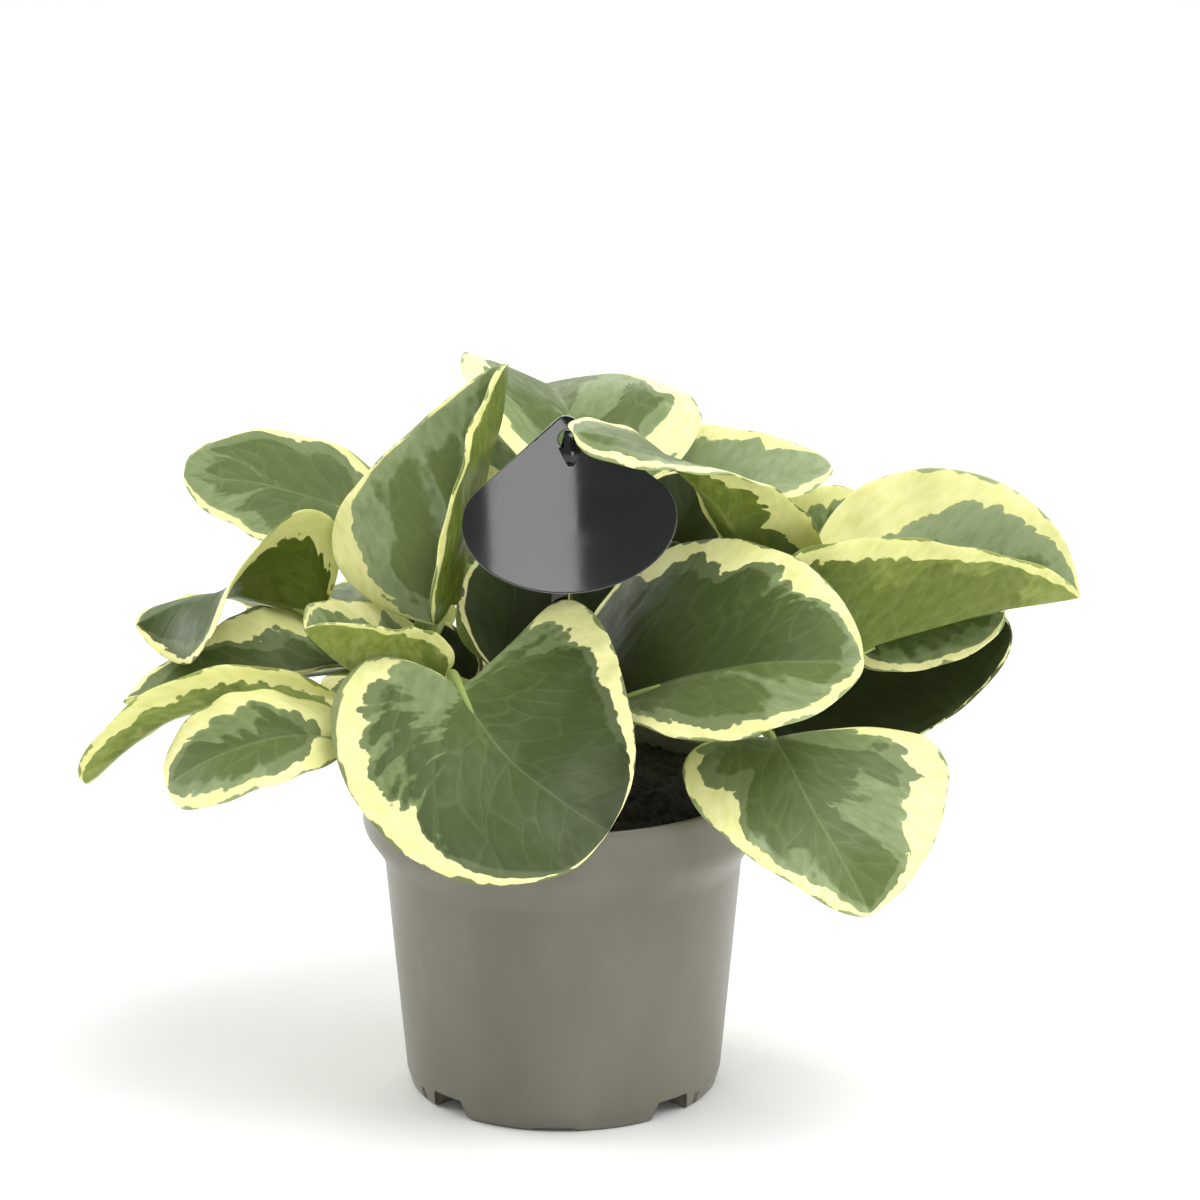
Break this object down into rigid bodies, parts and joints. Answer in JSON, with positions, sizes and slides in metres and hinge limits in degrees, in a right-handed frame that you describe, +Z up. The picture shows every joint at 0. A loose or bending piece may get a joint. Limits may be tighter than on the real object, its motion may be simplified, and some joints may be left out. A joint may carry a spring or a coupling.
{
  "type": "potted baby rubber plant",
  "caption": "Bushy variegated baby rubber plant with broad cupped leaves edged in cream, growing in a round grower's pot, with a drop-shaped tag on a stake.",
  "frame": {"origin": "middle of the pot's foot, on the surface that it stands on", "axes": "+Z up, +X to the viewer's right, +Y away from the viewer"},
  "size_m": [0.292, 0.2047, 0.2215],
  "materials": {
    "pot_plastic": "matte greenish taupe moulded plastic",
    "soil": "moist near-black peat",
    "stem": "smooth pale green stalk",
    "leaf": "waxy green leaf with cream edges",
    "tag_plastic": "glossy near-black plastic"
  },
  "bodies": {
    "root": {"leaf_back_left": "leaf", "leaf_back_left_low": "leaf", "leaf_back_mid": "leaf", "leaf_back_right": "leaf", "leaf_back_right_low": "leaf", "leaf_back_top": "leaf", "leaf_back_upper_left": "leaf", "leaf_back_upper_right": "leaf", "leaf_centre_dark": "leaf", "leaf_centre_right": "leaf", "leaf_centre_shade": "leaf", "leaf_front_heart": "leaf", "leaf_left_arch": "leaf", "leaf_left_back": "leaf", "leaf_left_dark": "leaf", "leaf_left_ear": "leaf", "leaf_left_low": "leaf", "leaf_left_shade": "leaf", "leaf_left_small": "leaf", "leaf_left_tall": "leaf", "leaf_right_back": "leaf", "leaf_right_curl": "leaf", "leaf_right_dark": "leaf", "leaf_right_far": "leaf", "leaf_right_gap": "leaf", "leaf_right_low": "leaf", "leaf_right_under": "leaf", "leaf_sliver": "leaf", "leaf_top_back": "leaf", "leaf_young": "leaf", "pot": "pot_plastic", "soil": "soil", "stem_back": "stem", "stem_left": "stem", "stem_right": "stem", "tag_card": "tag_plastic", "tag_stake": "tag_plastic"}
  },
  "joints": []
}
